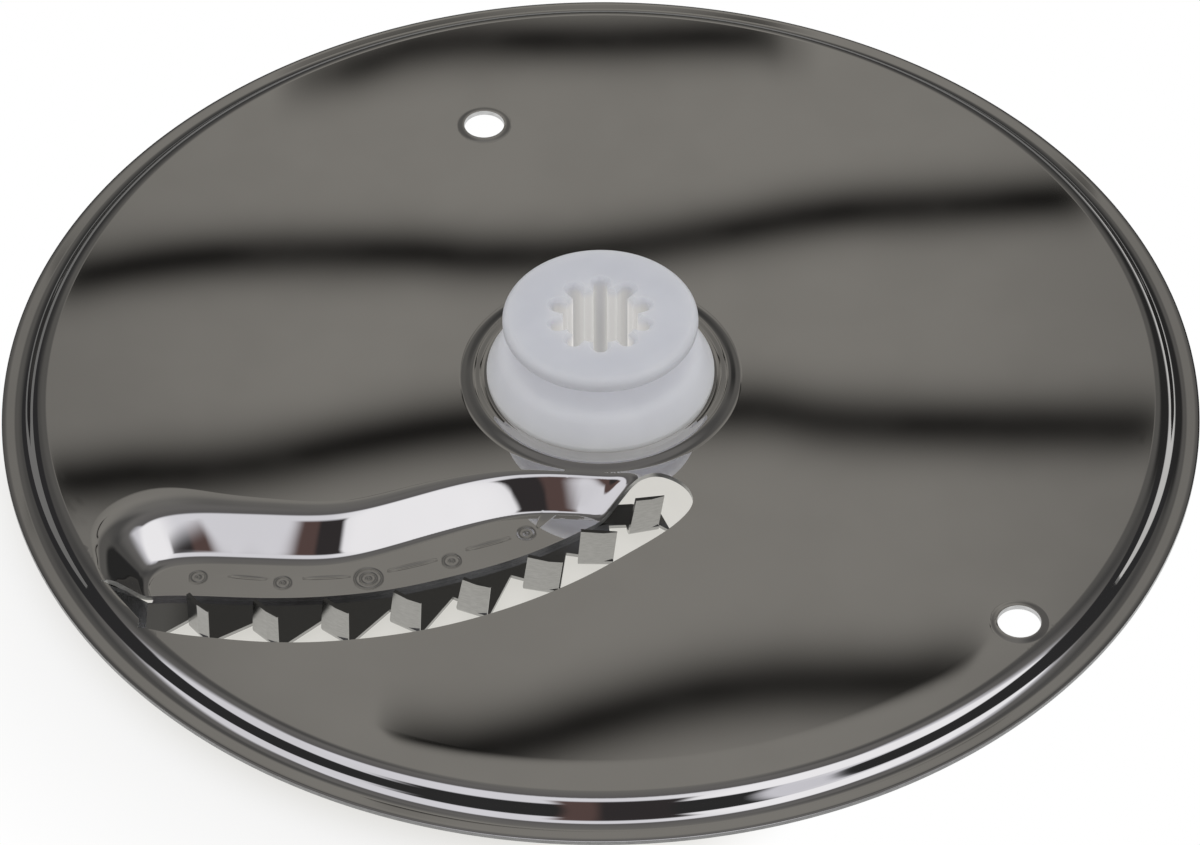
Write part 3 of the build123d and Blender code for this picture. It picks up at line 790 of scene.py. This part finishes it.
class Plan:
    """The sheet seen from above: its points, its cut outlines and where each point lies on the seat."""

    def __init__(self, seat, slot):
        self.seat = seat
        self.slot = slot
        self.points, self.seats, self.runs, self.cuts = [], [], [], []
        self.near = {}
        self.add_loop(ring(0, 0, JOIN_R, TURN))
        self.cuts.append(self.add_loop(ring(0, 0, HUB_HOLE_R, HUB_TURN)))
        self.cuts.append(self.add_loop(slot, [seat.at(x, y) for x, y in slot]))
        self.cuts += [self.add_loop(ring(*c, HOLE_R, HOLE_TURN)) for c in SMALL_HOLES]

    def keep(self, x, y, seat):
        self.near.setdefault((round(x), round(y)), []).append((x, y))
        self.points.append((x, y))
        self.seats.append(seat)

    def add_loop(self, loop, seats=None):
        """Add an outline, and give the numbers of its points."""
        base = len(self.points)
        for k, (x, y) in enumerate(loop):
            self.keep(x, y, seats[k] if seats else None)
        numbers = range(base, len(self.points))
        self.runs += [(k, base + (k - base + 1) % len(loop)) for k in numbers]
        return numbers

    def crowded(self, x, y, gap):
        cx, cy = round(x), round(y)
        cells = [(i, j) for i in (cx - 1, cx, cx + 1) for j in (cy - 1, cy, cy + 1)]
        found = (p for cell in cells for p in self.near.get(cell, ()))
        return any((px - x) ** 2 + (py - y) ** 2 < gap * gap for px, py in found)

    def add(self, x, y, seat=None, gap=0.2):
        """Add a point, unless it lies in a hole or closer than gap to another."""
        if self.crowded(x, y, gap):
            return
        # the box round the slot comes first because that is quicker
        near_slot = SLOT_LEFT < x < SLOT_RIGHT and SLOT_NEAR < y < SLOT_FAR
        if near_slot and inside(x, y, self.slot):
            return
        if any(math.dist((x, y), c) < HOLE_R + 0.05 for c in SMALL_HOLES):
            return
        self.keep(x, y, seat)

    def add_on_field(self, radius, count, gap=0.2):
        for x, y in ring(0, 0, radius, count):
            if not inside(x, y, self.seat.brim_line):
                self.add(x, y, None, gap)

    def add_on_land(self, x, y):
        if inside(x, y, self.seat.land_line):
            self.add(x, y, (1.0, (0.0, 0.0)), 0.05)

    def add_wall(self):
        for t in range(self.seat.laps):
            self.add(*self.seat.spot(t, WALL_OUTSIDE)[0])
        for s in WALL_SHARES:
            for t in range(self.seat.laps):
                spot = self.seat.spot(t, s)
                self.add(*spot[0], self.seat.lowered(t, s, spot))

    def add_weld_points(self):
        for cx, cy, rings in WELDS:
            outer = [mark + off for mark in rings[1:] for off in RING_OFFSETS]
            for r in WELD_RADII + outer:
                count = 8 if r < 0.15 else 18 if r <= 0.6 else 48
                for x, y in ring(cx, cy, r, count):
                    self.add_on_land(x, y)

    def add_dash_points(self):
        for a, b in DASHES:
            size = math.dist(a, b)
            n = math.ceil(size / DASH_STEP)
            for k in range(n + 1):
                x, y = between(a, b, k / n)
                for v in DASH_OFFSETS:
                    self.add_on_land(x - v * (b[1] - a[1]) / size, y + v * (b[0] - a[0]) / size)

    def add_lip_points(self):
        for c in SMALL_HOLES:
            for r in LIP_RADII:
                for x, y in ring(*c, r, HOLE_TURN):
                    self.add(x, y, gap=0.08)

    def fill(self):
        self.add_wall()
        self.add_weld_points()
        self.add_dash_points()
        self.add_lip_points()
        for r in PAD_RADII:
            self.add_on_field(r, HUB_TURN, gap=0.04)
        for r in FIELD_RADII:
            self.add_on_field(r, 96, gap=0.6)
        for r in NEAR_RIM_RADII:
            self.add_on_field(r, TURN // 2)

    def in_a_cut(self, tri):
        for cut in self.cuts:
            if all(k in cut for k in tri):
                x, y = (sum(self.points[k][c] for k in tri) / 3 for c in (0, 1))
                if inside(x, y, [self.points[k] for k in cut]):
                    return True
        return False

    def field_faces(self):
        """Triangles inside JOIN_R, without those that lie in a hole."""
        spots = [Vector(p) for p in self.points]
        spots_out, _, tris, _, _, _ = delaunay_2d_cdt(spots, self.runs, [], 0, 1e-7)
        assert len(spots_out) == len(spots), (len(spots_out), len(spots))
        return [tuple(tri) for tri in tris if not self.in_a_cut(tri)]

    def rim_faces(self):
        """Rings of rectangles from JOIN_R out to the edge, and the edge's points."""
        faces = []
        last = range(TURN)
        for r in RIM_RADII:
            row = range(len(self.points), len(self.points) + TURN)
            self.points += ring(0, 0, r, TURN)
            self.seats += [None] * TURN
            for k in range(TURN):
                j = (k + 1) % TURN
                faces.append((last[k], row[k], row[j], last[j]))
            last = row
        return faces, last


def turned_area(points):
    """Twice the area of a loop, above zero where it runs counter-clockwise."""
    return sum(p[0] * q[1] - p[1] * q[0] for p, q in zip(points, points[1:] + points[:1]))


def cut_faces(plan, loop, count, outer):
    """The cut wall along a loop, with its normals and its sharp edges."""
    points = [plan.points[k] for k in loop]
    same_way = (turned_area(points) > 0) == outer
    out = []
    for k in range(len(points)):
        (px, py), (qx, qy) = points[k - 1], points[(k + 1) % len(points)]
        way = Vector((qy - py, px - qx, 0)).normalized()
        out.append(way if same_way else -way)
    faces, normals, sharp = [], [], set()
    for k in range(len(points)):
        j = (k + 1) % len(points)
        va, vb = loop[k], loop[j]
        face, order = (va, vb, count + vb, count + va), (k, j, j, k)
        if same_way:
            face, order = face[::-1], order[::-1]
        faces.append(face)
        normals += [out[i] for i in order]
        sharp |= {frozenset((va, vb)), frozenset((count + va, count + vb))}
    return faces, normals, sharp


def make_sheet(steel, edge_steel):
    plan = Plan(Seat(), slot_outline())
    plan.fill()
    field = plan.field_faces()
    rim, edge_loop = plan.rim_faces()
    tops, lows, top_normals, low_normals = [], [], [], []
    for (x, y), seat in zip(plan.points, plan.seats):
        (z, gx, gy), (low_z, low_gx, low_gy) = heights(x, y, seat)
        tops.append((x * MM, y * MM, z * MM))
        lows.append((x * MM, y * MM, low_z * MM))
        top_normals.append(Vector((-gx, -gy, 1)).normalized())
        low_normals.append(Vector((low_gx, low_gy, -1)).normalized())

    count = len(tops)
    faces, normals, sharp = [], [], set()
    for face in field + rim:
        if turned_area([plan.points[k] for k in face[:3]]) < 0:
            face = face[::-1]
        faces.append(face)
        normals += [top_normals[k] for k in face]
        faces.append(tuple(count + k for k in face[::-1]))
        normals += [low_normals[k] for k in face[::-1]]
    pressed = len(faces)
    for loop in (edge_loop, *plan.cuts):
        more_faces, more_normals, more_sharp = cut_faces(plan, loop, count, loop is edge_loop)
        faces += more_faces
        normals += more_normals
        sharp |= more_sharp

    mesh = bpy.data.meshes.new("pressed_sheet")
    mesh.from_pydata(tops + lows, [], faces)
    mesh.materials.append(steel)
    mesh.materials.append(edge_steel)
    for k, face in enumerate(mesh.polygons):
        face.use_smooth = True
        face.material_index = 0 if k < pressed else 1
    for edge in mesh.edges:
        if frozenset(edge.vertices) in sharp:
            edge.use_edge_sharp = True
    mesh.normals_split_custom_set(normals)
    mesh.update()
    sheet = bpy.data.objects.new("pressed_sheet", mesh)
    scene.collection.objects.link(sheet)
    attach(sheet, "root")
    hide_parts("disc")


def dress(node, mat):
    for slot in nodes[node].material_slots:
        slot.material = mat


scene.view_settings.view_transform = "Standard"
make_camera()
make_world()
make_floor()
make_sheet(polished_steel(), cut_steel())
dress("julienne_blade", blade_steel())
dress("hub", hub_plastic())
